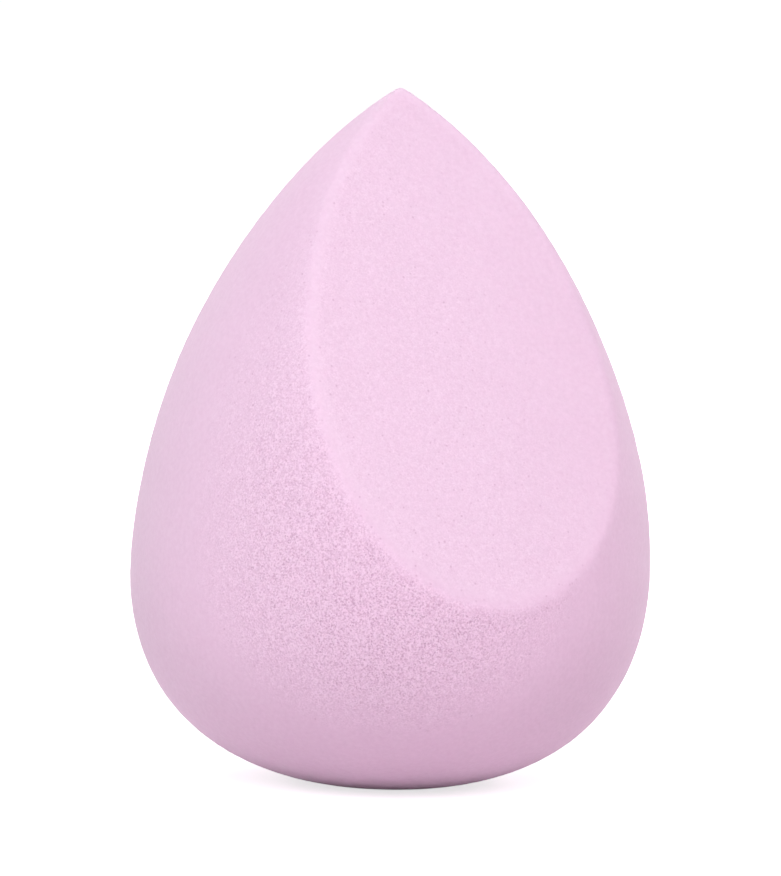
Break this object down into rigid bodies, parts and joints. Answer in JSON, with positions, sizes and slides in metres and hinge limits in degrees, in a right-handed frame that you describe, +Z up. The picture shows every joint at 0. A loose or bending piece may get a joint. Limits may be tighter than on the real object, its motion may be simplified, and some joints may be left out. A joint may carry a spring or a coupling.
{
  "type": "makeup sponge",
  "caption": "Soft foam makeup sponge shaped like a teardrop, with a pointed tip, a round base and a flat slanted bevel with a rounded rim.",
  "frame": {"origin": "centre of the foot's flat, on the teardrop's axis at table level", "axes": "+Z up the teardrop's axis to the tip, -Y out of the bevelled side, +X to the right of someone who faces the bevel"},
  "size_m": [0.045, 0.0449, 0.0599],
  "materials": {
    "foam": "soft matte pale pink polyurethane foam with a fine open grain"
  },
  "bodies": {
    "root": {"foam_body": "foam"}
  },
  "joints": []
}
